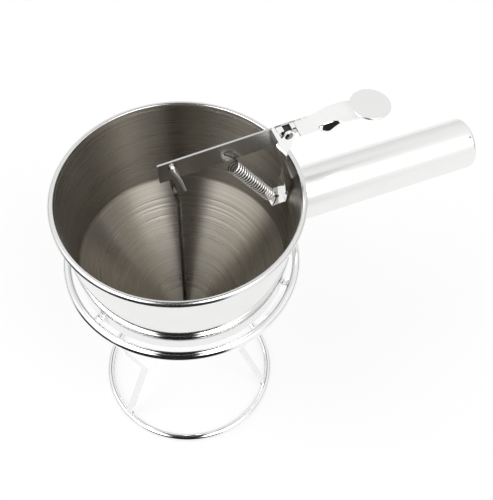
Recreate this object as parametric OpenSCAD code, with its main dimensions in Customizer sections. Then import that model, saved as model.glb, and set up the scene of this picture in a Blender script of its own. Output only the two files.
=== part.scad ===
// Batter dispenser funnel with a lever-worked stopper, standing in a wire stand.
// Millimetres. The origin is on the funnel's axis at the table, +Z is up, and the
// handle and the lever point along +X.

/* [Bowl and cone] */
// Outside diameter of the rolled rim
rim_d = 150; // [146:1:154]
// Thickness of the rolled bead round the rim
bead_d = 4.2; // [3.6:0.1:4.6]
// Height of the rim above the table
rim_z = 213.5; // [212.5:0.5:214.5]
// Inside diameter where the wall meets the cone
shoulder_d = 130; // [129:0.5:130.5]
// Height of the shoulder above the table
shoulder_z = 150.7; // [150.2:0.1:151]
// Inside diameter of the outlet
throat_d = 12.4; // [11:0.2:13]
// Height of the cone's lower end above the table
throat_z = 72; // [70:1:74]
// Height of the spout's mouth above the table
mouth_z = 55; // [52:1:60]
// Thickness of the sheet metal
sheet_t = 0.8; // [0.6:0.1:1]

/* [Handle] */
// Outside diameter of the handle tube
handle_d = 33; // [30:0.5:35]
// Height of the handle's axis above the table
handle_z = 177.3; // [175:0.1:180]
// Distance from the funnel's axis to the end of the handle
handle_reach = 199.5; // [180:0.5:210]
// Wall thickness of the handle tube
tube_t = 1; // [0.8:0.1:1.5]

/* [Lever] */
// Distance from the funnel's axis to the lever's pivot
pivot_x = 65.4; // [65:0.1:65.8]
// Height of the lever's pivot above the table
pivot_z = 243; // [242.6:0.1:243.4]
// Upward tilt of the lever at rest, in degrees
lever_tilt = 2.8; // [2.4:0.1:3]
// Thickness of the lever, bracket and thumb plate
plate_t = 1.2; // [1:0.1:1.3]
// Diameter of the thumb plate
thumb_d = 24; // [22:0.1:26]
// Diameter of the pivot pin
pin_d = 3.5; // [3:0.1:3.8]

/* [Rod and spring] */
// Diameter of the pull rod
rod_d = 2.8; // [2.4:0.1:3]
// Diameter of the spring wire
spring_wire_d = 0.9; // [0.7:0.1:1]
// Outside diameter of the spring
spring_d = 7.3; // [6.6:0.1:7.6]
// Number of turns of the spring
spring_turns = 19; // [12:1:20]

/* [Stand] */
// Diameter of the ring wire
wire_d = 5.4; // [5:0.1:5.6]
// Radius of the top ring, to the middle of its wire
top_ring_r = 72; // [71.5:0.1:72.5]
// Height of the top ring, to the middle of its wire
top_ring_z = 151.2; // [151:0.1:151.4]
// Radius of the base ring, to the middle of its wire
base_ring_r = 59.5; // [58:0.5:62]
// Width of the strip that the legs are bent from
leg_w = 5; // [4:0.5:7]
// Thickness of the leg strip
leg_t = 2; // [1.5:0.1:2.2]
// Radius of the inward bend of each leg
kink_r = 39.7; // [36:0.1:42]
// Height of the inward bend of each leg
kink_z = 48.6; // [44:0.1:54]

/* [Hidden] */
$fn = 96;
cut = 1;
steel = "silver";
bright = "gainsboro";
bush = "black";

// Bowl and cone
bead_r = bead_d / 2;
bead_z = rim_z - bead_r;
bead_ring_r = rim_d / 2 - bead_r;
shoulder_r = shoulder_d / 2;
throat_r = throat_d / 2;
wall_top_r = bead_ring_r - bead_r + 0.3;
cone_slope = (shoulder_r - throat_r) / (shoulder_z - throat_z);

// Handle
handle_r = handle_d / 2;
cap_edge_r = 3;
cap_crown = 0.8;
cap_h = 5.5;
tube_start_x = 50;

// Bracket, from the spring tab up to the ear
bracket_w = 12.5;
tab_top_z = 183;
tab_x = 57.5;
tab_hole = [63.4, 0];
tab_hole_r = 1.5;
seat_top_z = 204;
ear_boss_r = 3.6;

// Pivot
pin_r = pin_d / 2;
running_gap = 0.05;
pin_head_r = 2.6;
pin_head_t = 1.1;
pin_foot_r = 2.1;
pin_foot_t = 0.5;
spacer_r = 3.8;
washer_r = 2.4;
washer_t = 0.5;
side_gap = 0.15;
ear_y = bracket_w / 2;

// Lever, measured from its pivot and before its tilt
lever_in = -76.4;
web_low = -10.8;
web_high = 3.8;
web_tip = -2.5;
flange_start = -8.6;
flange_end = 19;
flange_w = 11;
flange_mid_z = web_high - plate_t / 2;
rise_angle = 18;
fall_angle = -5.8;
bend_r = 12;
rise_len = 0.4;
thumb_x = 50.7;
thumb_y = -5.5;
notch_in = -6;
notch_out = 4.8;
rod_hole = [-68.3, -0.2];
rod_hole_r = 2.3;
spring_hole = [-37.3, -4.3];
spring_hole_r = 1.1;

// Rod and stopper
rod_r = rod_d / 2;
stopper_gap = 0.4;
stopper_low_z = 66;
stopper_high_z = 83;
stopper_wide_z = 77;

// Spring
coil_r = (spring_d - spring_wire_d) / 2;
coil_top = [32, -4.8, 230.2];
coil_low = [56, -4.8, 193.5];
coil_len = norm(coil_low - coil_top);
coil_turn = atan2(coil_low[0] - coil_top[0], coil_low[2] - coil_top[2]);
spring_sides = 6;
rings_per_turn = 10;

// Stand
wire_r = wire_d / 2;
leg_azimuths = [-159.5, -37, 82];
leg_clear = 0.35;
tab_len = 4;
leg_shelf_z = top_ring_z - wire_r + 0.4 - leg_t / 2;
cone_tilt = atan(cone_slope);
shelf_in_r = shoulder_r + sheet_t - cone_slope * (shoulder_z - leg_shelf_z)
    + (leg_clear + leg_t / 2) / cos(cone_tilt);

// The unit vector along v, and the vector v turned a quarter turn to the left
function unit(v) = v / norm(v);
function left(v) = [-v[1], v[0]];

// The point beside p[i], at distance d from the path, mitred at the corners
function beside(p, i, d) =
    let (
        before = max(i, 1),
        after = min(i, len(p) - 2),
        n1 = left(unit(p[before] - p[before - 1])),
        n2 = left(unit(p[after + 1] - p[after])),
        m = unit(n1 + n2)
    )
    p[i] + m * d / (m * n1);

// The outline of a strip of thickness t that follows the path p
function strip(p, t) = concat(
    [for (i = [0:len(p) - 1]) beside(p, i, t / 2)],
    [for (i = [len(p) - 1:-1:0]) beside(p, i, -t / 2)]
);

// Points on an arc about c, from angle a0 to a1
function arc(c, r, a0, a1, steps = 8) =
    [for (i = [0:steps]) c + r * [cos(a0 + (a1 - a0) * i / steps), sin(a0 + (a1 - a0) * i / steps)]];

// A smooth path through the points p, with n steps between neighbours
function spline(p, n) = [
    for (i = [0:len(p) - 2], k = [0:(i == len(p) - 2 ? n : n - 1)])
        let (
            t = k / n,
            a = p[max(i - 1, 0)],
            b = p[i],
            c = p[i + 1],
            d = p[min(i + 2, len(p) - 1)]
        )
        0.5 * (2 * b + (c - a) * t + (2 * a - 5 * b + 4 * c - d) * t * t
            + (3 * b - a - 3 * c + d) * t * t * t)
];

// The part of v that is square to t, as a unit vector
function squared(v, t) = unit(v - t * (v * t));

// A round wire of radius r along the path p, its rings turned as little as possible
module wire(p, r, sides) {
    last = len(p) - 1;
    tangents = [for (i = [0:last]) unit(p[min(i + 1, last)] - p[max(i - 1, 0)])];
    start_side = squared([1, 0.3, 0.1], tangents[0]);
    sideways = [
        for (i = 0, u = start_side; i <= last; i = i + 1, u = squared(u, tangents[min(i, last)])) u
    ];
    points = [
        for (i = [0:last], k = [0:sides - 1])
            let (u = sideways[i], v = cross(tangents[i], u), a = 360 * k / sides)
            p[i] + r * (u * cos(a) + v * sin(a))
    ];
    walls = [
        for (i = [0:last - 1], k = [0:sides - 1])
            let (here = i * sides, there = here + sides, next = (k + 1) % sides)
            [here + next, here + k, there + k, there + next]
    ];
    start = [for (k = [0:sides - 1]) k];
    end = [for (k = [sides - 1:-1:0]) last * sides + k];
    polyhedron(points, concat(walls, [start, end]));
}

// Extrudes an X-Z outline across Y, from y0 to y1
module across_y(y0, y1) {
    translate([0, y1, 0]) rotate([90, 0, 0]) linear_extrude(y1 - y0) children();
}

// The space inside the bowl's wall, made smaller by inset or larger by a negative inset
module wall_space(inset) {
    translate([0, 0, shoulder_z])
        cylinder(h = bead_z - shoulder_z, r1 = shoulder_r - inset, r2 = wall_top_r - inset);
}

// The wall and the rolled rim, turned as one
module bowl_shell() {
    color(steel) rotate_extrude() {
        polygon([
            [shoulder_r, shoulder_z],
            [shoulder_r + sheet_t, shoulder_z],
            [wall_top_r + sheet_t, bead_z],
            [wall_top_r, bead_z]
        ]);
        translate([bead_ring_r, bead_z]) circle(bead_r);
    }
}

module cone_shell() {
    color(steel) rotate_extrude() polygon([
        [throat_r, throat_z],
        [throat_r + sheet_t, throat_z],
        [shoulder_r + sheet_t, shoulder_z],
        [shoulder_r, shoulder_z]
    ]);
}

module outlet_spout() {
    color(steel) translate([0, 0, mouth_z]) difference() {
        cylinder(h = throat_z - mouth_z, r = throat_r + sheet_t);
        translate([0, 0, -cut]) cylinder(h = throat_z - mouth_z + 2 * cut, r = throat_r);
    }
}

// The tube is cut to the slope of the wall that it is welded to
module handle_tube() {
    length = handle_reach - cap_h - tube_start_x;
    color(bright) difference() {
        translate([tube_start_x, 0, handle_z]) rotate([0, 90, 0]) difference() {
            cylinder(h = length, r = handle_r);
            translate([0, 0, -cut]) cylinder(h = length + 2 * cut, r = handle_r - tube_t);
        }
        wall_space(-sheet_t);
    }
}

// A shallow crowned cap with a rounded edge
module handle_end_cap() {
    edge_in = handle_r - cap_edge_r;
    edge_z = cap_h - cap_crown - cap_edge_r;
    color(bright) translate([handle_reach - cap_h, 0, handle_z]) rotate([0, 90, 0])
        rotate_extrude() polygon(concat(
            [[0, cap_h]],
            arc([edge_in, edge_z], cap_edge_r, 80, 0),
            [[handle_r, 0], [handle_r - tube_t, 0]],
            arc([edge_in, edge_z], cap_edge_r - tube_t, 0, 80),
            [[0, cap_h - tube_t]]
        ));
}

// One ear, from its root on the wall to the boss round the pin
module ear_outline() {
    polygon([
        [66.4, 192], [68.6, 192], [69.6, seat_top_z], [67, 212], [64.7, 221], [65.3, 229],
        [67.4, 234.5], [pivot_x + ear_boss_r, pivot_z], [62, pivot_z + 1], [58.4, 241.4],
        [57.5, 238.4], [60, 228.5], [61.8, 221.5], [63.8, 212]
    ]);
    translate([pivot_x, pivot_z]) circle(ear_boss_r);
}

// Spring tab, curved seat against the wall, and one ear beside the lever
module lever_bracket() {
    color(bright) difference() {
        union() {
            intersection() {
                wall_space(0);
                translate([tab_x, -ear_y, tab_top_z - plate_t])
                    cube([wall_top_r - tab_x, bracket_w, plate_t]);
            }
            intersection() {
                difference() {
                    wall_space(0);
                    wall_space(plate_t);
                }
                translate([tab_x, -ear_y, tab_top_z - plate_t])
                    cube([wall_top_r - tab_x, bracket_w, seat_top_z - tab_top_z + plate_t]);
            }
            across_y(-ear_y, plate_t - ear_y) ear_outline();
        }
        translate([tab_hole[0], tab_hole[1], tab_top_z - plate_t - cut])
            cylinder(h = plate_t + 2 * cut, r = tab_hole_r);
        on_pin(-ear_y - cut, plate_t - ear_y + cut, pin_r);
    }
}

// A cylinder about the pivot's axis, from y0 to y1
module on_pin(y0, y1, r) {
    translate([pivot_x, y1, pivot_z]) rotate([90, 0, 0]) cylinder(h = y1 - y0, r = r);
}

// Riveted over at both ends: outside the ear and outside the washer
module pivot_pin() {
    far = plate_t / 2 + side_gap + washer_t;
    color(steel) {
        on_pin(-ear_y, far, pin_r);
        on_pin(-ear_y - pin_head_t, -ear_y, pin_head_r);
        on_pin(far, far + pin_foot_t, pin_foot_r);
    }
}

// A bush on the pin, between the ear and the lever's web
module pivot_spacer() {
    color(bush) difference() {
        on_pin(plate_t - ear_y, -plate_t / 2 - side_gap, spacer_r);
        on_pin(-ear_y, plate_t, pin_r);
    }
}

module pivot_washer() {
    near = plate_t / 2 + side_gap;
    color(steel) difference() {
        on_pin(near, near + washer_t, washer_r);
        on_pin(0, near + washer_t + cut, pin_r);
    }
}

// Places what is drawn about the lever's pivot
module at_pivot() {
    translate([pivot_x, 0, pivot_z]) rotate([0, -lever_tilt, 0]) children();
}

// Middle line of the flat strip: level, up round one bend, down round the next
rise_arc = arc([flange_end, flange_mid_z + bend_r], bend_r, -90, rise_angle - 90);
rise_end = rise_arc[len(rise_arc) - 1] + rise_len * [cos(rise_angle), sin(rise_angle)];
crest_arc = arc(rise_end + bend_r * [sin(rise_angle), -cos(rise_angle)], bend_r,
    90 + rise_angle, 90 + fall_angle);
crest_end = crest_arc[len(crest_arc) - 1];
thumb_z = crest_end[1] + (thumb_x - crest_end[0]) * tan(fall_angle);
strip_path = concat([[flange_start, flange_mid_z]], rise_arc, crest_arc,
    [[thumb_x + 4, thumb_z + 4 * tan(fall_angle)]]);

// The strip seen from above: it widens through the bends
module strip_plan() {
    far = plate_t / 2;
    polygon([
        [flange_start, far], [thumb_x + 4, far], [thumb_x + 4, -flange_w], [37, -13],
        [29, -13.6], [23, -13], [flange_end, -flange_w], [flange_start, -flange_w]
    ]);
}

// Upright web over the bowl, folded into the flat strip that leads out to the thumb plate.
// The strip is notched round the ear.
module press_lever() {
    color(bright) at_pivot() difference() {
        union() {
            across_y(-plate_t / 2, plate_t / 2) polygon([
                [lever_in, web_low], [flange_start, web_low], [flange_end, web_tip],
                [flange_end, web_high], [lever_in, web_high]
            ]);
            intersection() {
                across_y(-flange_w - flange_end, plate_t) polygon(strip(strip_path, plate_t));
                linear_extrude(2 * flange_end) strip_plan();
            }
        }
        translate([0, plate_t, 0]) rotate([90, 0, 0]) cylinder(h = 2 * plate_t, r = pin_r + running_gap);
        translate([rod_hole[0], plate_t, rod_hole[1]]) rotate([90, 0, 0])
            cylinder(h = 2 * plate_t, r = rod_hole_r);
        translate([spring_hole[0], plate_t, spring_hole[1]]) rotate([90, 0, 0])
            cylinder(h = 2 * plate_t, r = spring_hole_r);
        translate([notch_in, -flange_w - cut, flange_mid_z - plate_t])
            cube([notch_out - notch_in, flange_w + cut - plate_t / 2, 2 * plate_t]);
    }
}

// Round plate welded on top of the strip's end
module thumb_plate() {
    color(bright) at_pivot() translate([thumb_x, thumb_y, thumb_z]) rotate([0, -fall_angle, 0])
        translate([0, 0, plate_t / 2]) cylinder(h = plate_t, r = thumb_d / 2);
}

// Straight down the funnel's axis, hooked through the hole at the lever's inner end
module pull_rod() {
    side = rod_r + plate_t / 2 + 0.45;
    hook_x = -2.6;
    hook_z = 239.4;
    color(steel) wire(concat(
        [[0, 0, stopper_high_z], [0, 0, 120], [0, 0, 160], [0, 0, 198]],
        spline([
            [0, 0, 204], [-0.6, 0.7, 210], [-2, side - 0.2, 219], [hook_x, side, 227],
            [hook_x, side, hook_z - 2.4], [hook_x, side - 0.75, hook_z - 0.5],
            [hook_x, side / 2, hook_z], [hook_x, -side / 2, hook_z],
            [hook_x, 0.75 - side, hook_z - 0.5], [hook_x + 0.4, -side, hook_z - 2.6],
            [0.6, -side - 0.8, 230], [3, -side - 2, 221]
        ], 3)
    ), rod_r, 12);
}

// Tapered plug that closes the outlet from above
module stopper() {
    color(steel) rotate_extrude() polygon([
        [0, stopper_low_z],
        [throat_r - 2, stopper_low_z + 1.5],
        [throat_r - stopper_gap, throat_z],
        [throat_r - stopper_gap + (stopper_wide_z - throat_z) * cone_slope, stopper_wide_z],
        [throat_r, stopper_wide_z + 2],
        [rod_r + 0.8, stopper_wide_z + 4],
        [rod_r + 0.8, stopper_high_z],
        [0, stopper_high_z]
    ]);
}

// A point of the coil, at distance r from its axis, turned by a and at distance s along it
function on_coil(r, a, s) =
    let (x = r * cos(a), y = r * sin(a))
    coil_top + [x * cos(coil_turn) + s * sin(coil_turn), y, s * cos(coil_turn) - x * sin(coil_turn)];

// Open coil with a hook at each end: through the lever's web and through the bracket's tab
module return_spring() {
    steps = spring_turns * rings_per_turn - rings_per_turn / 4;
    coil = [for (i = [0:steps]) on_coil(coil_r, 180 + 360 * i / rings_per_turn, coil_len * i / steps)];
    web_hook = spline([
        [29.9, 2.8, 233.8], [28.9, 2.5, 235.4], [28.3, 1.4, 236.7], [28.3, 0, 237], [29.1, -1.4, 237],
        [31.3, -2.6, 236.2], [33.6, -3.4, 234.2], coil[0]
    ], 3);
    tab_hook = spline([
        coil[len(coil) - 1], [58.8, -1.5, 192.2], [61.4, -1.3, 188.6], [62.9, -0.7, 184.9],
        [63.4, 0, 182.4], [63, 0.5, 180.9], [61.8, 0.6, 180.3]
    ], 3);
    color("dimgray") wire(concat(
        [for (i = [0:len(web_hook) - 2]) web_hook[i]],
        coil,
        [for (i = [1:len(tab_hook) - 1]) tab_hook[i]]
    ), spring_wire_d / 2, spring_sides);
}

// A ring of round wire about the funnel's axis
module ring(r, z) {
    translate([0, 0, z]) rotate_extrude() translate([r, 0]) circle(wire_r);
}

module stand_top_ring() {
    color(steel) ring(top_ring_r, top_ring_z);
}

module stand_base_ring() {
    color(steel) ring(base_ring_r, wire_r);
}

// A bent strip: a support tongue under the cone, a shelf under the top ring, then in to
// the kink and out to the base ring
module stand_leg(azimuth) {
    path = [
        [shelf_in_r - tab_len * sin(cone_tilt), leg_shelf_z - tab_len * cos(cone_tilt)],
        [shelf_in_r, leg_shelf_z],
        [top_ring_r, leg_shelf_z],
        [kink_r, kink_z],
        [base_ring_r - 0.7, wire_r + 0.9]
    ];
    color(steel) difference() {
        rotate([0, 0, azimuth]) across_y(-leg_w / 2, leg_w / 2) polygon(strip(path, leg_t));
        ring(top_ring_r, top_ring_z);
        ring(base_ring_r, wire_r);
    }
}

module stand_leg_1() {
    stand_leg(leg_azimuths[0]);
}

module stand_leg_2() {
    stand_leg(leg_azimuths[1]);
}

module stand_leg_3() {
    stand_leg(leg_azimuths[2]);
}

bowl_shell();
cone_shell();
outlet_spout();
handle_tube();
handle_end_cap();
lever_bracket();
pivot_pin();
pivot_spacer();
pivot_washer();
press_lever();
thumb_plate();
pull_rod();
stopper();
return_spring();
stand_top_ring();
stand_base_ring();
stand_leg_1();
stand_leg_2();
stand_leg_3();
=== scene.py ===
"""Looks of a batter dispenser funnel on a wire stand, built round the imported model.

Lengths are in millimetres until a mesh is made, and the names of sizes are those of the part's own source.
"""

import math

import bmesh
import bpy
from mathutils import Matrix, Vector, noise


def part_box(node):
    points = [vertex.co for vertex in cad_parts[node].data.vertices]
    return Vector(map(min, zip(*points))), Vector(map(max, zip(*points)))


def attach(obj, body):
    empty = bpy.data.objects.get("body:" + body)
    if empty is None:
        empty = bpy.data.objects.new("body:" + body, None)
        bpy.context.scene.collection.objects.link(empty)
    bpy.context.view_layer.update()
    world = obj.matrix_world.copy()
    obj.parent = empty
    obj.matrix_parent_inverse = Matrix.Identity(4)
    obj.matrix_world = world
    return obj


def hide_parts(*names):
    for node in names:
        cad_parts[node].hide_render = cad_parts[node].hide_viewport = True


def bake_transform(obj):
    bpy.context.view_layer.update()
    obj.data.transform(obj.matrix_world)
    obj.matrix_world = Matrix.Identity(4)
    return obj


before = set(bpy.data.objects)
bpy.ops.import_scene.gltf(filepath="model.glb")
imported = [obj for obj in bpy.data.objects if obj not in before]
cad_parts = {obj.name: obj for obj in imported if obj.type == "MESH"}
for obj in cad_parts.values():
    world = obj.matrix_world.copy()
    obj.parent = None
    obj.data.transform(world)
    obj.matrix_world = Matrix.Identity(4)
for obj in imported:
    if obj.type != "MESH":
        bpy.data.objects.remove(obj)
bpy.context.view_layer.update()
MM = 0.001


def low_high(node):
    """The lowest and highest corner of a CAD node, in millimetres."""
    low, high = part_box(node)
    return low / MM, high / MM


# ---------------------------------------------------------------- sizes

rim_low, rim_high = low_high("bowl_shell")
cone_low, cone_high = low_high("cone_shell")
tube_low, tube_high = low_high("handle_tube")
cap_low, cap_high = low_high("handle_end_cap")
top_low, top_high = low_high("stand_top_ring")
base_low, base_high = low_high("stand_base_ring")

SHEET = 0.8
BEAD_R = 2.1
RIM_R = rim_high.x
RIM_Z = rim_high.z
SHOULDER_Z = cone_high.z
SHOULDER_R = cone_high.x - SHEET
THROAT_Z = cone_low.z
THROAT_R = 6.2
BEAD_MID_R = RIM_R - BEAD_R
BEAD_MID_Z = RIM_Z - BEAD_R
WALL_TOP_R = BEAD_MID_R - BEAD_R + 0.3
WALL_SLOPE = (WALL_TOP_R - SHOULDER_R) / (BEAD_MID_Z - SHOULDER_Z)
CONE_SLOPE = (SHOULDER_R - THROAT_R) / (SHOULDER_Z - THROAT_Z)

HANDLE_R = (cap_high.z - cap_low.z) / 2
HANDLE_Z = (cap_high.z + cap_low.z) / 2
HANDLE_END = cap_high.x
CAP_EDGE = 3.0
CAP_CROWN = 0.8

WIRE_R = (base_high.z - base_low.z) / 2
TOP_RING_R = top_high.x - WIRE_R
TOP_RING_Z = (top_high.z + top_low.z) / 2
BASE_RING_R = base_high.x - WIRE_R

PLATE = 1.2
PIVOT = (65.4, 243.0)
EAR_Y = 6.25
LEG_AZIMUTHS = (-159.5, -37.0, 82.0)


# ---------------------------------------------------------------- mesh helpers

def new_object(name, points, faces, materials, body, indices=None, sharp=40.0):
    """A smooth-shaded object from points in millimetres, riding on a CAD body."""
    mesh = bpy.data.meshes.new(name)
    mesh.from_pydata([[c * MM for c in p] for p in points], [], faces)
    for material in materials:
        mesh.materials.append(material)
    if indices:
        mesh.polygons.foreach_set("material_index", indices)
    mesh.validate()
    work = bmesh.new()
    work.from_mesh(mesh)
    bmesh.ops.recalc_face_normals(work, faces=work.faces)
    work.to_mesh(mesh)
    work.free()
    mesh.shade_smooth()
    mesh.set_sharp_from_angle(angle=math.radians(sharp))
    obj = bpy.data.objects.new(name, mesh)
    bpy.context.scene.collection.objects.link(obj)
    if body:
        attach(obj, body)
    return obj


def arc(cx, cy, r, a0, a1, steps):
    """Points on an arc about (cx, cy), from angle a0 to a1 in degrees."""
    angles = [math.radians(a0 + (a1 - a0) * i / steps) for i in range(steps + 1)]
    return [(cx + r * math.cos(a), cy + r * math.sin(a)) for a in angles]


def rounded(points, radii, steps=8):
    """An open path with each inner corner replaced by an arc of the given radius."""
    path = [Vector(points[0])]
    for before, corner, after, r in zip(points, points[1:], points[2:], radii):
        corner = Vector(corner)
        u = (Vector(before) - corner).normalized()
        v = (Vector(after) - corner).normalized()
        half = u.angle(v) / 2
        reach = r / math.tan(half)
        middle = corner + (u + v).normalized() * r / math.sin(half)
        start = corner + u * reach - middle
        end = corner + v * reach - middle
        turn = start.angle(end)
        for i in range(steps + 1):
            t = i / steps
            blend = start * math.sin((1 - t) * turn) + end * math.sin(t * turn)
            path.append(middle + blend / math.sin(turn))
    path.append(Vector(points[-1]))
    return path


def lathe(profile, segments, place=Matrix.Identity(4), closed=True):
    """Points and faces of a profile of (r, z) turned about the z axis, then placed."""
    points, faces, owner = [], [], []
    for i in range(segments):
        a = 2 * math.pi * i / segments
        for r, z in profile:
            points.append(place @ Vector((r * math.cos(a), r * math.sin(a), z)))
    n = len(profile)
    for i in range(segments):
        j = (i + 1) % segments
        for k in range(n if closed else n - 1):
            m = (k + 1) % n
            if profile[k][0] < 1e-6 and profile[m][0] < 1e-6:
                continue
            face = [i * n + k, j * n + k, j * n + m, i * n + m]
            if profile[k][0] < 1e-6:
                face = [i * n + k, j * n + m, i * n + m]
            elif profile[m][0] < 1e-6:
                face = [i * n + k, j * n + k, i * n + m]
            faces.append(face)
            owner.append(k)
    return points, faces, owner


def turned(name, profile, segments, place, material, body):
    """A lathed solid whose profile may touch the axis at its ends."""
    points, faces, _ = lathe(profile, segments, place, closed=profile[0][0] > 0)
    obj = new_object(name, points, faces, [material], body)
    work = bmesh.new()
    work.from_mesh(obj.data)
    bmesh.ops.remove_doubles(work, verts=work.verts, dist=1e-6)
    bmesh.ops.recalc_face_normals(work, faces=work.faces)
    work.to_mesh(obj.data)
    work.free()
    return obj


def sweep(path, section, side):
    """Points and faces of a section carried along a path, turned as little as possible."""
    path = [Vector(p) for p in path]
    last = len(path) - 1
    u = Vector(side)
    points, faces = [], []
    n = len(section)
    for i, p in enumerate(path):
        tangent = (path[min(i + 1, last)] - path[max(i - 1, 0)]).normalized()
        u = (u - tangent * u.dot(tangent)).normalized()
        v = tangent.cross(u)
        points += [p + u * a + v * b for a, b in section]
    for i in range(last):
        for k in range(n):
            m = (k + 1) % n
            faces.append([i * n + k, i * n + m, (i + 1) * n + m, (i + 1) * n + k])
    faces.append(list(range(n)))
    faces.append([last * n + k for k in range(n)])
    return points, faces


def circle(r, sides):
    """The round section of a wire."""
    return arc(0, 0, r, 0, 360 - 360 / sides, sides - 1)


def spline(points, steps):
    """A smooth path through the points, with steps between neighbours."""
    points = [Vector(p) for p in points]
    path = []
    for i in range(len(points) - 1):
        a, b = points[max(i - 1, 0)], points[i]
        c, d = points[i + 1], points[min(i + 2, len(points) - 1)]
        for k in range(steps):
            t = k / steps
            bend = (2 * a - 5 * b + 4 * c - d) * t * t + (3 * b - a - 3 * c + d) * t ** 3
            path.append(0.5 * (2 * b + (c - a) * t + bend))
    path.append(points[-1])
    return path


def eased_copy(node, name, material, body, width, sharp=35.0):
    """A copy of a CAD node with its flat faces joined up and its edges eased."""
    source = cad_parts[node].data
    work = bmesh.new()
    work.from_mesh(source)
    bmesh.ops.remove_doubles(work, verts=work.verts, dist=2e-6)
    bmesh.ops.dissolve_limit(work, angle_limit=math.radians(0.6), verts=work.verts, edges=work.edges)
    points = [v.co / MM for v in work.verts]
    faces = [[v.index for v in f.verts] for f in work.faces]
    work.free()
    obj = new_object(name, points, faces, [material], body, sharp=sharp)
    ease(obj, width, sharp)
    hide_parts(node)
    return obj


def ease(obj, width, sharp):
    """Rounds an object's edges that are sharper than an angle."""
    bevel = obj.modifiers.new("eased", "BEVEL")
    bevel.width = width * MM
    bevel.segments = 3
    bevel.limit_method = "ANGLE"
    bevel.angle_limit = math.radians(sharp)
    bevel.harden_normals = True


# ---------------------------------------------------------------- materials

class Nodes:
    """A short way to add and join nodes of a material or world."""

    def __init__(self, tree):
        self.tree = tree

    def add(self, kind, settings=None, **inputs):
        node = self.tree.nodes.new("ShaderNode" + kind)
        for key, value in (settings or {}).items():
            setattr(node, key, value)
        for key, value in inputs.items():
            socket = node.inputs[int(key[1:])] if key[0] == "i" and key[1:].isdigit() else None
            socket = socket or node.inputs[key.replace("_", " ")]
            if hasattr(value, "is_output"):
                self.tree.links.new(value, socket)
            else:
                socket.default_value = value
        return node

    def math(self, operation, a, b=0.0, clamp=False):
        return self.add("Math", {"operation": operation, "use_clamp": clamp}, i0=a, i1=b).outputs[0]

    def scaled(self, value, low, high):
        """A value from 0 to 1 brought to the range low to high."""
        return self.add("MapRange", {}, Value=value, To_Min=low, To_Max=high).outputs["Result"]

    def ramp(self, value, start, end, low=0.0, high=1.0):
        """A soft step from low to high while the value goes from start to end."""
        inputs = {"From_Min": start, "From_Max": end, "To_Min": low, "To_Max": high}
        settings = {"interpolation_type": "SMOOTHSTEP"}
        return self.add("MapRange", settings, Value=value, **inputs).outputs["Result"]

    def noise(self, vector, scale, detail=3.0, roughness=0.5):
        node = self.add("TexNoise", {}, Vector=vector, Scale=scale, Detail=detail, Roughness=roughness)
        return node.outputs["Fac"]


def metal_base(name):
    material = bpy.data.materials.new(name)
    material.use_nodes = True
    shader = material.node_tree.nodes["Principled BSDF"]
    shader.inputs["Metallic"].default_value = 1.0
    return material, Nodes(material.node_tree), shader


def place_of(n):
    """The object's own coordinates in millimetres."""
    coordinates = n.add("TexCoord").outputs["Object"]
    scaled = n.add("VectorMath", {"operation": "SCALE"}, i0=coordinates, Scale=1 / MM)
    return scaled.outputs["Vector"]


def tinted(n, shader, fac, dark, light):
    """The base colour runs from dark to light with fac."""
    mix = n.add("Mix", {"data_type": "RGBA"}, Factor=fac)
    mix.inputs["A"].default_value = (*dark, 1.0)
    mix.inputs["B"].default_value = (*light, 1.0)
    n.tree.links.new(mix.outputs["Result"], shader.inputs["Base Color"])


def bumped(n, shader, height, strength, distance):
    bump = n.add("Bump", {}, Height=height, Strength=strength, Distance=distance * MM)
    n.tree.links.new(bump.outputs["Normal"], shader.inputs["Normal"])


def polished_steel(name, dark, light, low, high, grain=(1.0, 1.0, 1.0), scratch=0.04):
    """Mirror-polished metal with faint handling marks and a fine grain along one direction."""
    material, n, shader = metal_base(name)
    place = place_of(n)
    clouds = n.noise(place, 0.05, 4.0)
    stretched = n.add("VectorMath", {"operation": "MULTIPLY"}, i0=place, i1=grain).outputs["Vector"]
    lines = n.noise(stretched, 1.0, 5.0, 0.65)
    tinted(n, shader, clouds, dark, light)
    mixed = n.math("ADD", n.math("MULTIPLY", clouds, 0.6), n.math("MULTIPLY", lines, 0.4))
    n.tree.links.new(n.scaled(mixed, low, high), shader.inputs["Roughness"])
    bumped(n, shader, lines, scratch, 0.01)
    return material


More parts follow.
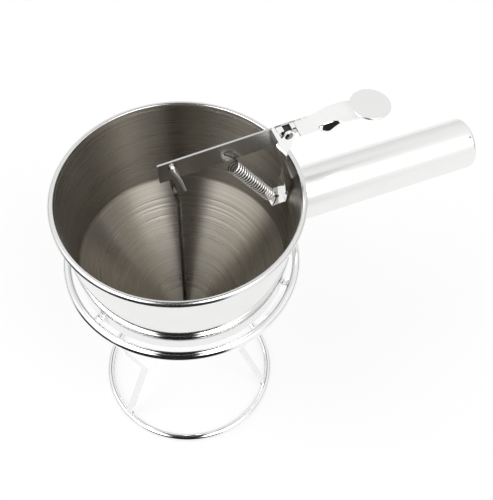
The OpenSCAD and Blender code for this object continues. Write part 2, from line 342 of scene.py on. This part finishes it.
def spun_steel(name):
    """Sheet spun on a lathe: fine rings round the axis, which spread reflections up and down."""
    material, n, shader = metal_base(name)
    place = place_of(n)
    parts = n.add("SeparateXYZ", {}, Vector=place)
    x, y, z = (parts.outputs[k] for k in "XYZ")
    radius = n.math("SQRT", n.math("ADD", n.math("MULTIPLY", x, x), n.math("MULTIPLY", y, y)))
    along = n.math("ADD", n.math("MULTIPLY", z, 0.8), n.math("MULTIPLY", radius, 0.6))
    around_x = n.math("MULTIPLY", n.math("DIVIDE", x, radius), 0.22)
    around_y = n.math("MULTIPLY", n.math("DIVIDE", y, radius), 0.22)

    def rings(per_mm, detail):
        vector = n.add("CombineXYZ", {}, X=n.math("MULTIPLY", along, per_mm), Y=around_x, Z=around_y)
        return n.noise(vector.outputs["Vector"], 1.0, detail, 0.6)

    fine, coarse, wide = rings(6.0, 3.0), rings(2.0, 4.0), rings(0.12, 2.0)
    lines = n.math("ADD", n.math("MULTIPLY", fine, 0.5), n.math("MULTIPLY", coarse, 0.5))
    tinted(n, shader, n.scaled(coarse, -0.6, 1.6), (0.26, 0.243, 0.217), (0.41, 0.384, 0.338))
    rough = n.math("ADD", n.math("MULTIPLY", lines, 0.6), n.math("MULTIPLY", wide, 0.4))
    n.tree.links.new(n.scaled(rough, 0.20, 0.36), shader.inputs["Roughness"])
    shader.inputs["Anisotropic"].default_value = 1.0
    shader.inputs["Anisotropic Rotation"].default_value = 0.25
    tangent = n.add("Tangent", {"direction_type": "RADIAL", "axis": "Z"})
    n.tree.links.new(tangent.outputs["Tangent"], shader.inputs["Tangent"])
    bumped(n, shader, lines, 0.14, 0.02)
    return material


def side_shaded_wire(name):
    """Spring wire with painted shade: dark on the side toward the lever's web and bright on the side away from it, with
    a wavy border between.
    """
    material, n, shader = metal_base(name)
    place = place_of(n)
    marks = n.noise(place, 1.2, 3.0)
    y = n.add("SeparateXYZ", {}, Vector=place).outputs["Y"]
    # painted shade: the base colour darkens the half of the coil that faces the web and lightens the half away from it
    lit_side = n.ramp(n.math("ADD", y, n.math("MULTIPLY", marks, 0.8)), -4.2, -5.6)
    tinted(n, shader, lit_side, (0.05, 0.048, 0.044), (0.80, 0.785, 0.76))
    n.tree.links.new(n.scaled(marks, 0.10, 0.24), shader.inputs["Roughness"])
    bumped(n, shader, marks, 0.05, 0.01)
    return material


# Near black and matt: the bush is made this dark so that the slot above it shows black
def near_black_matt(name):
    material, n, shader = metal_base(name)
    shader.inputs["Metallic"].default_value = 0.0
    place = place_of(n)
    grain = n.noise(place, 3.0, 4.0)
    tinted(n, shader, grain, (0.004, 0.004, 0.004), (0.012, 0.012, 0.012))
    n.tree.links.new(n.scaled(grain, 0.35, 0.6), shader.inputs["Roughness"])
    bumped(n, shader, grain, 0.1, 0.02)
    return material


spun = spun_steel("spun_steel")
wall_polish = polished_steel("wall_polish", (0.80, 0.80, 0.79), (0.86, 0.86, 0.85), 0.03, 0.09, (0.02, 0.02, 2.0))
rim_satin = polished_steel("rim_satin", (0.74, 0.74, 0.73), (0.84, 0.84, 0.83), 0.14, 0.24, (0.05, 0.05, 2.0))
handle_polish = polished_steel("handle_polish", (0.84, 0.84, 0.83), (0.90, 0.90, 0.89), 0.20, 0.30, (0.03, 2.0, 2.0))
plate_polish = polished_steel("plate_polish", (0.89, 0.89, 0.88), (0.94, 0.94, 0.93), 0.04, 0.10, (0.05, 1.5, 1.5))
thumb_polish = polished_steel("thumb_polish", (0.84, 0.84, 0.83), (0.88, 0.88, 0.87), 0.10, 0.20, (0.3, 0.3, 0.3))
wire_chrome = polished_steel("wire_chrome", (0.84, 0.85, 0.86), (0.92, 0.92, 0.93), 0.02, 0.06, (0.3, 0.3, 0.3))
rod_steel = polished_steel("rod_steel", (0.22, 0.215, 0.205), (0.34, 0.33, 0.315), 0.08, 0.20, (3.0, 3.0, 0.05))
spring_steel = side_shaded_wire("spring_steel")
web_satin = polished_steel("web_satin", (0.58, 0.58, 0.565), (0.70, 0.70, 0.685), 0.20, 0.30, (0.05, 1.5, 1.5))
# painted highlight: the hook at the rod's top gets this brighter copy of the rod's steel, while the shank of the same
# wire stays dark
hook_painted_highlight = polished_steel("hook_painted_highlight", (0.93, 0.925, 0.91), (0.97, 0.965, 0.95), 0.30, 0.42, (1.0, 1.0, 1.0))
bush_nylon = near_black_matt("bush_nylon")


# ---------------------------------------------------------------- bowl and cone

def wall_r(z):
    """The bowl's inside radius at height z."""
    return SHOULDER_R + (z - SHOULDER_Z) * WALL_SLOPE


def cone_r(z):
    """The cone's inside radius at height z."""
    return SHOULDER_R - (SHOULDER_Z - z) * CONE_SLOPE


def funnel_shell():
    """Wall, rolled rim and cone as one sheet with a soft shoulder and shallow spinning grooves."""
    corner = (SHOULDER_R, SHOULDER_Z)
    groove_z = (139.5, 136.5, 134.5, 130.0)
    heights = [THROAT_Z + (127.0 - THROAT_Z) * i / 18 for i in range(18)]
    heights += [127.0 + (SHOULDER_Z - 3.5 - 127.0) * i / 68 for i in range(69)]
    cone_in = []
    for z in heights:
        dip = sum(0.10 * math.exp(-((z - g) / 0.45) ** 2) for g in groove_z)
        cone_in.append((cone_r(z) + dip, z))
    bend = rounded([cone_in[-1], corner, (wall_r(SHOULDER_Z + 8), SHOULDER_Z + 8)], [4.5], 10)
    wall_in = [(wall_r(z), z) for z in (SHOULDER_Z + 8 + (BEAD_MID_Z - SHOULDER_Z - 14) * i / 12 for i in range(13))]
    curl = arc(BEAD_MID_R, BEAD_MID_Z, BEAD_R, 122, -150, 40)
    lip = spline([wall_in[-2], wall_in[-1], (wall_r(BEAD_MID_Z - 2) + 0.05, BEAD_MID_Z - 2), (wall_r(BEAD_MID_Z) + 0.25, BEAD_MID_Z + 0.3), curl[0]], 5)[5:]
    curl_end = arc(BEAD_MID_R, BEAD_MID_Z, BEAD_R - SHEET, -150, 170, 16)
    inside = cone_in + [tuple(p) for p in bend[1:-1]] + wall_in[1:-1] + [tuple(p) for p in lip[:-1]]
    wall_out = [(wall_r(z) + SHEET, z) for z in (BEAD_MID_Z - 1.0 + (SHOULDER_Z + 3 - BEAD_MID_Z + 1.0) * i / 10 for i in range(11))]
    below = (cone_r(SHOULDER_Z - 8) + SHEET, SHOULDER_Z - 8)
    outer_bend = rounded([wall_out[-1], (SHOULDER_R + SHEET, SHOULDER_Z), below], [1.6], 8)
    outside = wall_out[:-1] + [tuple(p) for p in outer_bend] + [(THROAT_R + SHEET, THROAT_Z)]
    profile = inside + curl + curl_end + outside
    points, faces, owner = lathe(profile, 576)
    split = len(inside)
    rim = range(split - 4, split + len(curl) - 6)
    indices = [2 if k in rim else 0 if k < split or k >= len(profile) - 1 else 1 for k in owner]
    obj = new_object("funnel_shell", points, faces, [spun, wall_polish, rim_satin], "funnel", indices, 50)
    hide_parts("bowl_shell", "cone_shell")
    return obj


# ---------------------------------------------------------------- handle

def handle_body():
    """Tube welded to the sloping wall with a small fillet, and its rounded end."""
    segments = 128
    edge = HANDLE_R - CAP_EDGE
    edge_x = HANDLE_END - CAP_CROWN - CAP_EDGE
    end = [(r, x) for x, r in arc(edge_x, edge, CAP_EDGE, 90, 8, 10)]
    crown = [(edge * t, HANDLE_END - CAP_CROWN * t * t * 0.55) for t in (0.93, 0.8, 0.6, 0.4, 0.2)]
    points, faces = [], []
    rows = []
    for i in range(segments):
        a = 2 * math.pi * i / segments
        c, s = math.cos(a), math.sin(a)

        def on_wall(r):
            y, z = r * c, HANDLE_Z + r * s
            return math.sqrt((wall_r(z) + SHEET) ** 2 - y * y) - 0.1

        fillet = [(HANDLE_R + 1.0 * (1 - t) ** 2, 1.0 * t * t) for t in (0.0, 0.25, 0.5, 0.75, 1.0)]
        row = [(r, on_wall(r) + x) for r, x in fillet]
        start = row[-1][1]
        row += [(HANDLE_R, start + (edge_x - start) * k / 24) for k in range(1, 24)]
        row += end + crown
        rows.append([Vector((x, r * c, HANDLE_Z + r * s)) for r, x in row])
    n = len(rows[0])
    for row in rows:
        points += row
    for i in range(segments):
        j = (i + 1) % segments
        for k in range(n - 1):
            faces.append([i * n + k, j * n + k, j * n + k + 1, i * n + k + 1])
    points.append(Vector((HANDLE_END, 0, HANDLE_Z)))
    for i in range(segments):
        j = (i + 1) % segments
        faces.append([i * n + n - 1, j * n + n - 1, len(points) - 1])
    obj = new_object("handle_body", points, faces, [handle_polish], "funnel", None, 60)
    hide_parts("handle_tube", "handle_end_cap")
    return obj


def handle_spots():
    """Two small weld spots by the cap's edge, on the lever's side of the handle."""
    for i, (x, angle) in enumerate(((HANDLE_END - 4.6, 118.0), (HANDLE_END - 3.4, 96.0))):
        a = math.radians(angle)
        r = HANDLE_R - 0.12 - (0.35 if i else 0.0)
        middle = Matrix.Translation((x, r * math.cos(a), HANDLE_Z + r * math.sin(a)))
        lean = Matrix.Rotation(math.pi / 2 - a, 4, "X")
        dome = [(0.0, 0.22), (0.3, 0.2), (0.55, 0.12), (0.75, 0.0), (0.8, -0.4), (0.0, -0.4)]
        turned(f"handle_spot_{i + 1}", dome, 24, middle @ lean, rod_steel, "funnel")


# ---------------------------------------------------------------- lever, bracket and pivot

def along_y(y):
    """Places a lathed piece on the pivot's axis, its own z axis pointing to -Y from height y."""
    return Matrix.Translation((PIVOT[0], y, PIVOT[1])) @ Matrix.Rotation(math.pi / 2, 4, "X")


def pivot_parts():
    """Domed rivet, black bush and washer on the pivot's axis."""
    near, far = EAR_Y, 1.25
    head = [(0.0, near + 1.1), (0.9, near + 1.04), (1.7, near + 0.8), (2.3, near + 0.35), (2.6, near)]
    foot = [(2.1, -far), (1.9, -far - 0.35), (1.2, -far - 0.5), (0.0, -far - 0.5)]
    pin = head + [(1.75, near), (1.75, -far)] + foot
    obj = turned("pivot_rivet", pin, 48, along_y(0), rod_steel, "funnel")
    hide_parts("pivot_pin")
    bush = [(1.75, 0.75), (3.0, 0.75), (3.3, 1.05), (3.3, 4.75), (3.0, 5.05), (1.75, 5.05)]
    obj = turned("pivot_bush", bush, 64, along_y(0), bush_nylon, "funnel")
    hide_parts("pivot_spacer")
    washer = [(1.75, -0.75), (2.3, -0.75), (2.4, -0.85), (2.4, -1.15), (2.3, -1.25), (1.75, -1.25)]
    obj = turned("pivot_ring", washer, 48, along_y(0), rod_steel, "funnel")
    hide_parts("pivot_washer")


def plate_with_holes(outline, holes, y0, y1):
    """Points and faces of a flat plate across y, with round holes given as (x, z, r)."""
    work = bmesh.new()
    loops = [outline] + [arc(x, z, r, 0, 345, 23) for x, z, r in holes]
    for loop in loops:
        verts = [work.verts.new((x, y0, z)) for x, z in loop]
        for a, b in zip(verts, verts[1:] + verts[:1]):
            work.edges.new((a, b))
    bmesh.ops.triangle_fill(work, use_beauty=True, edges=work.edges)
    bmesh.ops.dissolve_limit(work, angle_limit=0.01, verts=work.verts, edges=work.edges)
    made = bmesh.ops.extrude_face_region(work, geom=list(work.faces))
    moved = [g for g in made["geom"] if isinstance(g, bmesh.types.BMVert)]
    bmesh.ops.translate(work, verts=moved, vec=(0, y1 - y0, 0))
    points = [v.co.copy() for v in work.verts]
    faces = [[v.index for v in f.verts] for f in work.faces]
    work.free()
    return points, faces


def strip_path():
    """Middle line of the flat strip beyond its notch, in the lever's own (x, z)."""
    level, bend, rise, fall = 3.2, 12.0, 18.0, -5.8
    path = [(4.8 + 14.2 * i / 28, level) for i in range(28)]
    path += arc(19, level + bend, bend, -90, rise - 90, 6)
    a = math.radians(rise)
    x, z = path[-1][0] + 0.4 * math.cos(a), path[-1][1] + 0.4 * math.sin(a)
    path += arc(x + bend * math.sin(a), z - bend * math.cos(a), bend, 90 + rise, 90 + fall, 8)
    x, z = path[-1]
    slope = math.tan(math.radians(fall))
    path += [(x + (54.7 - x) * i / 44, z + (54.7 - x) * i / 44 * slope) for i in range(1, 45)]
    return path


def smooth(t):
    """0 below 0, 1 above 1 and an even curve between."""
    t = min(max(t, 0.0), 1.0)
    return t * t * (3 - 2 * t)


def pressed(x, y):
    """Height of the hump pressed into the strip: highest along the far edge, folded down at the near one."""
    hump = 1.4 * smooth((x - 15) / 9) * smooth((47 - x) / 12)
    crest = 0.6 * smooth((x - 25) / 9) * smooth((48 - x) / 10) * smooth((y + 12) / 12)
    fold_y = 3.7 * smooth((x - 13.5) / 4.5) * smooth((32 - x) / 12) - 13.2
    depth = max(fold_y - y, 0.0)
    fold = depth * depth / 1.2 if depth < 0.6 else depth - 0.3
    return hump + crest - 1.1 * fold


def strip_grid():
    """The strip from its notch to the thumb plate as a closed sheet with a top and an underside."""
    path = [Vector(p) for p in strip_path()]
    last, across = len(path) - 1, 44
    points, faces = [], []
    for i, p in enumerate(path):
        tangent = (path[min(i + 1, last)] - path[max(i - 1, 0)]).normalized()
        normal = Vector((-tangent.y, tangent.x)) * PLATE / 2
        width = 11 + 2.2 * smooth((p.x - 16) / 7) * smooth((58 - p.x) / 20)
        for side in (1, -1):
            q = p + normal * side
            for j in range(across + 1):
                y = 0.6 - (width + 0.6) * j / across
                points.append(Vector((q.x, y, q.y + pressed(p.x, y))))
    row = 2 * (across + 1)
    loop = list(range(across + 1)) + list(range(row - 1, across, -1))
    for i in range(last):
        for k, m in zip(loop, loop[1:] + loop[:1]):
            faces.append([i * row + k, i * row + m, (i + 1) * row + m, (i + 1) * row + k])
    for i in (0, last):
        for j in range(across):
            a, b = i * row + j, i * row + across + 1 + j
            faces.append([a, a + 1, b + 1, b])
    return points, faces


def lever_plate():
    """The web with its holes, the strip and the short flap inside the notch, joined into one plate."""
    place = Matrix.Translation((PIVOT[0], 0, PIVOT[1])) @ Matrix.Rotation(math.radians(-2.8), 4, "Y")
    outline = [(-76.4, -10.8), (-8.6, -10.8), (19, -2.5), (19, 3.8), (-76.4, 3.8)]
    outline = [tuple(p) for p in rounded(outline[-1:] + outline + outline[:1], [0.8, 6, 2, 0.2, 0.8], 5)[1:-1]]
    holes = [(0, 0, 1.8), (-68.3, -0.2, 2.3), (-37.3, -4.3, 1.1)]
    web = plate_with_holes(outline, holes, -PLATE / 2, PLATE / 2)
    flap_outline = [(-8.6, 2.6), (-6, 2.6), (-6, 3.8), (-8.6, 3.8)]
    flap = plate_with_holes(flap_outline, [], -11, PLATE / 2)
    tongues = []
    for start, end in ((2.3, 5.2), (-6.4, -2.3)):
        tongue = [(start, 2.6), (end, 2.6), (end, 3.8), (start, 3.8)]
        tongues.append(plate_with_holes(tongue, [], -4.5, PLATE / 2))
    solids = []
    for points, faces in (web, strip_grid(), flap, *tongues):
        points = [place @ Vector(p) for p in points]
        indices = [0 if solids else 1] * len(faces)
        solids.append(new_object("lever_plate", points, faces, [plate_polish, web_satin], None, indices))
    obj = solids[0]
    for other in solids[1:]:
        join = obj.modifiers.new("join", "BOOLEAN")
        join.operation = "UNION"
        join.solver = "EXACT"
        join.object = other
    mesh = bpy.data.meshes.new_from_object(obj.evaluated_get(bpy.context.evaluated_depsgraph_get()))
    obj.modifiers.clear()
    obj.data = mesh
    for other in solids[1:]:
        bpy.data.objects.remove(other)
    mesh.shade_smooth()
    mesh.set_sharp_from_angle(angle=math.radians(35))
    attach(obj, "lever")
    ease(obj, 0.16, 35)
    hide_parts("press_lever")


def plates():
    """The bracket with eased edges, the thumb plate with a rounded rim, and the plug and spout."""
    lever_plate()
    eased_copy("lever_bracket", "bracket_plate", plate_polish, "funnel", 0.16)
    eased_copy("thumb_plate", "thumb_disc", thumb_polish, "lever", 0.3)
    eased_copy("stopper", "stopper_plug", rod_steel, "rod", 0.3, 25)
    eased_copy("outlet_spout", "spout_tube", wall_polish, "funnel", 0.15, 50)


# ---------------------------------------------------------------- rod and spring

def pull_wire():
    """The rod's straight shank and the hook through the lever's inner end."""
    side, hook_x, hook_z = 2.45, -2.6, 239.4
    shank = [(0, 0, z) for z in (82.0, 110.0, 140.0, 170.0, 198.0)]
    bends = spline([
        (0, 0, 198), (0, 0, 204), (-0.6, 0.7, 210), (-2, side - 0.2, 219), (hook_x, side, 227),
        (hook_x, side, hook_z - 2.4), (hook_x, side - 0.75, hook_z - 0.5), (hook_x, side / 2, hook_z),
        (hook_x, -side / 2, hook_z), (hook_x, 0.75 - side, hook_z - 0.5),
        (hook_x + 0.4, -side, hook_z - 2.6), (0.6, -side - 0.8, 230), (3, -side - 2, 221),
    ], 10)
    points, faces = sweep(shank[:-1] + bends, circle(1.4, 24), (1, 0.3, 0.1))
    path = shank[:-1] + bends
    for i in range(len(path) - 20, len(path)):
        middle, thin = Vector(path[i]), 1 - 0.02 * (i - len(path) + 21)
        points[24 * i:24 * i + 24] = [middle + (p - middle) * thin for p in points[24 * i:24 * i + 24]]
    # Faces of the hook get the brighter material: a painted highlight on the same wire as the darker shank
    polished = [int(all(points[k].z > 214 and points[k].y < 1 for k in face)) for face in faces]
    obj = new_object("pull_wire", points, faces, [rod_steel, hook_painted_highlight], "rod", polished)
    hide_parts("pull_rod")


def spring_wire():
    """Open coil with a hook at each end, which stretches between the bracket and the lever."""
    top, low = Vector((32, -5.0, 230.2)), Vector((56, -5.0, 193.5))
    axis = (low - top).normalized()
    across = Vector((0, 1, 0))
    out = across.cross(axis)
    turns, per_turn, r = 18, 24, 3.85
    steps = turns * per_turn - per_turn // 4
    coil = []
    for i in range(steps + 1):
        a = math.pi + 2 * math.pi * i / per_turn
        s = (low - top).length * i / steps
        coil.append(top + axis * s + (out * math.cos(a) + across * math.sin(a)) * r)
    web_hook = spline([
        (29.9, 2.8, 233.8), (28.9, 2.5, 235.4), (28.3, 1.4, 236.7), (28.3, 0, 237), (29.1, -1.4, 237),
        (31.3, -2.6, 236.2), (33.6, -3.4, 234.2), coil[0],
    ], 6)
    tab_hook = spline([
        coil[-1], (58.8, -1.5, 192.2), (61.4, -1.3, 188.6), (62.9, -0.7, 184.9),
        (63.4, 0, 182.4), (63, 0.5, 180.9), (61.8, 0.6, 180.3),
    ], 6)
    path = web_hook[:-1] + coil + tab_hook[1:]
    points, faces = sweep(path, circle(0.42, 12), (1, 0.3, 0.1))
    obj = new_object("spring_wire", points, faces, [spring_steel], None)
    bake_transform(obj)
    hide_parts("return_spring")


# ---------------------------------------------------------------- stand

def ring(name, node, r, z):
    profile = [(r + WIRE_R * math.cos(a), z + WIRE_R * math.sin(a)) for a in (2 * math.pi * k / 32 for k in range(32))]
    points, faces, _ = lathe(profile, 256)
    obj = new_object(name, points, faces, [wire_chrome], "stand")
    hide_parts(node)


def leg(index, azimuth):
    """A bent strip with round bends, from its tongue under the cone to the base ring."""
    shelf_z = TOP_RING_Z - WIRE_R - 0.6
    tilt = math.atan(CONE_SLOPE)
    shelf_in = SHOULDER_R + SHEET - CONE_SLOPE * (SHOULDER_Z - shelf_z) + 1.35 / math.cos(tilt)
    corners = [
        (shelf_in - 4 * math.sin(tilt), shelf_z - 4 * math.cos(tilt)), (shelf_in, shelf_z),
        (TOP_RING_R, shelf_z), (39.7, 48.6), (BASE_RING_R - 0.7, WIRE_R + 0.9),
    ]
    path = rounded(corners, [1.4, 2.2, 3.5], 8)
    turn = Matrix.Rotation(math.radians(azimuth), 4, "Z")
    w, t, e = 2.5, 1.0, 0.35
    section = []
    for cx, cy, a in ((w - e, t - e, 0), (e - w, t - e, 90), (e - w, e - t, 180), (w - e, e - t, 270)):
        section += arc(cx, cy, e, a, a + 90, 3)
    points, faces = sweep([turn @ Vector((p.x, 0, p.y)) for p in path], section, turn @ Vector((0, 1, 0)))
    obj = new_object(f"leg_strip_{index}", points, faces, [wire_chrome], "stand", None, 50)
    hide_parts(f"stand_leg_{index}")
    weld(f"top_weld_{index}", turn @ Vector((TOP_RING_R - 1.2, 0, TOP_RING_Z - WIRE_R + 0.5)), turn, (2.0, 2.9, 0.9))
    weld(f"base_weld_{index}", turn @ Vector((BASE_RING_R - 1.9, 0, WIRE_R + 1.9)), turn, (1.6, 2.9, 1.1))


def weld(name, middle, turn, size):
    """A small lumpy bead of weld metal."""
    work = bmesh.new()
    bmesh.ops.create_icosphere(work, subdivisions=4, radius=1.0)
    points = []
    for v in work.verts:
        lump = 1 + 0.12 * noise.noise(v.co * 2.5 + middle)
        points.append(middle + turn @ Vector([c * s * lump for c, s in zip(v.co, size)]))
    faces = [[v.index for v in f.verts] for f in work.faces]
    work.free()
    new_object(name, points, faces, [rod_steel], "stand")


# ---------------------------------------------------------------- floor, light and camera

def dress_floor():
    """A plain pale floor that glows a little, so that contact shadows stay faint."""
    half = 9000
    points = [(-half, -half, 0), (half, -half, 0), (half, half, 0), (-half, half, 0)]
    material = bpy.data.materials.new("floor")
    material.use_nodes = True
    n = Nodes(material.node_tree)
    shader = material.node_tree.nodes["Principled BSDF"]
    shader.inputs["Base Color"].default_value = (0.14, 0.14, 0.14, 1)
    shader.inputs["Roughness"].default_value = 1.0
    shader.inputs["Specular IOR Level"].default_value = 0.0
    shader.inputs["Emission Color"].default_value = (1, 1, 1, 1)
    shader.inputs["Emission Strength"].default_value = 0.80
    obj = new_object("floor", points, [[0, 1, 2, 3]], [material], None)


VIEW_HEADING = 23.98
VIEW_ELEVATION = 55.18
VIEW_ROLL = 2.0
VIEW_DISTANCE = 0.4973
LENS = 64.8
DARK_LEFT = 57.0
DARK_RIGHT = 43.0
DARK_HEIGHT = 48.0


def camera_side(n, vector):
    """A vector's parts toward the camera's side and to its right, and the azimuth between them."""
    parts = n.add("SeparateXYZ", {}, Vector=vector)
    x, y, z = (parts.outputs[k] for k in "XYZ")
    turn = math.radians(VIEW_HEADING + 180)
    ahead = n.math("ADD", n.math("MULTIPLY", x, math.sin(turn)), n.math("MULTIPLY", y, math.cos(turn)))
    right = n.math("ADD", n.math("MULTIPLY", x, -math.cos(turn)), n.math("MULTIPLY", y, math.sin(turn)))
    azimuth = n.math("MULTIPLY", n.math("ARCTAN2", right, ahead), 180 / math.pi)
    return ahead, right, z, azimuth


def unlit(n, azimuth):
    """1 in the middle of the unlit sector, fading to 0 at its sides."""
    left = n.ramp(azimuth, -DARK_LEFT, 18 - DARK_LEFT)
    return n.math("MULTIPLY", left, n.ramp(azimuth, DARK_RIGHT, DARK_RIGHT - 14))


def dark_table():
    """The unlit end of the table, in front of and below the camera's view, for steel to reflect."""
    near, far, steps = 225, 8500, 40
    points, faces = [], []
    for i in range(steps + 1):
        turn = VIEW_HEADING + 180 - DARK_RIGHT + (DARK_RIGHT + 100) * i / steps
        a = math.radians(turn)
        for r in (near, far):
            points.append((r * math.sin(a), r * math.cos(a), 0.5))
    for i in range(steps):
        faces.append([2 * i, 2 * i + 1, 2 * i + 3, 2 * i + 2])
    material = bpy.data.materials.new("dark_cloth")
    material.use_nodes = True
    n = Nodes(material.node_tree)
    shader = material.node_tree.nodes["Principled BSDF"]
    azimuth = camera_side(n, n.add("TexCoord").outputs["Object"])[3]
    left = n.math("MULTIPLY", n.ramp(azimuth, -98, -72), n.ramp(azimuth, -26, -38))
    dark = n.math("MAXIMUM", unlit(n, azimuth), left)
    n.tree.links.new(n.ramp(dark, 0, 1, 0.93, 0.0), shader.inputs["Emission Strength"])
    shader.inputs["Emission Color"].default_value = (1, 1, 1, 1)
    shader.inputs["Base Color"].default_value = (0.01, 0.01, 0.01, 1)
    shader.inputs["Roughness"].default_value = 1.0
    shader.inputs["Specular IOR Level"].default_value = 0.0
    obj = new_object("dark_table", points, faces, [material], None)
    obj.visible_camera = False
    obj.visible_diffuse = False
    obj.visible_shadow = False


def light_tent():
    """A white tent with the dark room behind the camera and the camera itself left open."""
    world = bpy.data.worlds.new("tent")
    world.use_nodes = True
    bpy.context.scene.world = world
    n = Nodes(world.node_tree)
    ahead, right, z, azimuth = camera_side(n, n.add("TexCoord").outputs["Generated"])
    elevation = n.math("MULTIPLY", n.math("ARCSINE", z), 180 / math.pi)
    hump = n.math("MULTIPLY", n.math("POWER", n.math("DIVIDE", azimuth, 45.0), 2.0), 30.0)
    room_top = n.math("SUBTRACT", DARK_HEIGHT, hump)
    room = n.ramp(n.math("SUBTRACT", elevation, room_top), 6, -6)
    room = n.math("MULTIPLY", room, unlit(n, azimuth))
    off_middle = n.math("ABSOLUTE", n.math("ADD", right, 0.04))
    gap = n.math("MULTIPLY", n.ramp(off_middle, 0.26, 0.13), n.ramp(ahead, -0.55, -0.42))
    side = n.math("ADD", n.ramp(azimuth, -46, -56), n.ramp(azimuth, 64, 74))
    horizon = n.ramp(n.math("ABSOLUTE", n.math("SUBTRACT", elevation, 3.0)), 7, 3, 0.0, 0.85)
    horizon = n.math("MULTIPLY", horizon, n.math("MULTIPLY", side, n.ramp(ahead, -0.75, -0.5)))
    dark = n.math("MAXIMUM", n.math("MAXIMUM", room, gap), horizon)
    low_behind = n.math("MULTIPLY", n.ramp(ahead, 0.1, -0.7), n.ramp(elevation, 60, 5))
    tent = n.math("SUBTRACT", 1.0, n.math("MULTIPLY", low_behind, 0.20))

    def soft_box(left, right_end, strength):
        """A glowing panel between two azimuths, on either side of the camera."""
        sides = n.math("MULTIPLY", n.ramp(azimuth, left - 8, left + 8), n.ramp(azimuth, right_end + 10, right_end - 10))
        height = n.math("MULTIPLY", n.ramp(elevation, 30, 44), n.ramp(elevation, 84, 74))
        return n.math("MULTIPLY", n.math("MULTIPLY", sides, height), strength)

    glow = n.math("ADD", soft_box(-98, -30, 4.2), soft_box(20, 64, 4.9))
    tent = n.math("ADD", tent, glow)
    light = n.math("MULTIPLY", tent, n.ramp(dark, 0, 1, 1.0, 0.02))
    seen = n.add("LightPath").outputs["Is Camera Ray"]
    light = n.add("Mix", {"data_type": "FLOAT"}, i0=seen, i2=light, i3=1.0).outputs[0]
    background = world.node_tree.nodes["Background"]
    n.tree.links.new(light, background.inputs["Strength"])
    background.inputs["Color"].default_value = (1, 1, 1, 1)


def photo_camera():
    """The camera looks at a point level with the rim, a little in front of the funnel's axis."""
    data = bpy.data.cameras.new("camera")
    data.lens = LENS
    data.clip_start = 0.01
    data.clip_end = 20
    camera = bpy.data.objects.new("camera", data)
    bpy.context.scene.collection.objects.link(camera)
    aim = Vector((0.0218, -0.0507, RIM_Z * MM))
    heading, elevation = math.radians(VIEW_HEADING), math.radians(VIEW_ELEVATION)
    look = Matrix.Rotation(-heading, 4, "Z") @ Matrix.Rotation(math.pi / 2 - elevation, 4, "X")
    look = look @ Matrix.Rotation(math.radians(VIEW_ROLL), 4, "Z")
    camera.matrix_world = Matrix.Translation(aim) @ look @ Matrix.Translation((0, 0, VIEW_DISTANCE))
    bpy.context.scene.camera = camera


photo_camera()
funnel_shell()
handle_body()
handle_spots()
pivot_parts()
plates()
pull_wire()
spring_wire()
ring("ring_top", "stand_top_ring", TOP_RING_R, TOP_RING_Z)
ring("ring_base", "stand_base_ring", BASE_RING_R, WIRE_R)
for number, heading in enumerate(LEG_AZIMUTHS, 1):
    leg(number, heading)
dress_floor()
dark_table()
light_tent()
bpy.context.scene.view_settings.view_transform = "Standard"
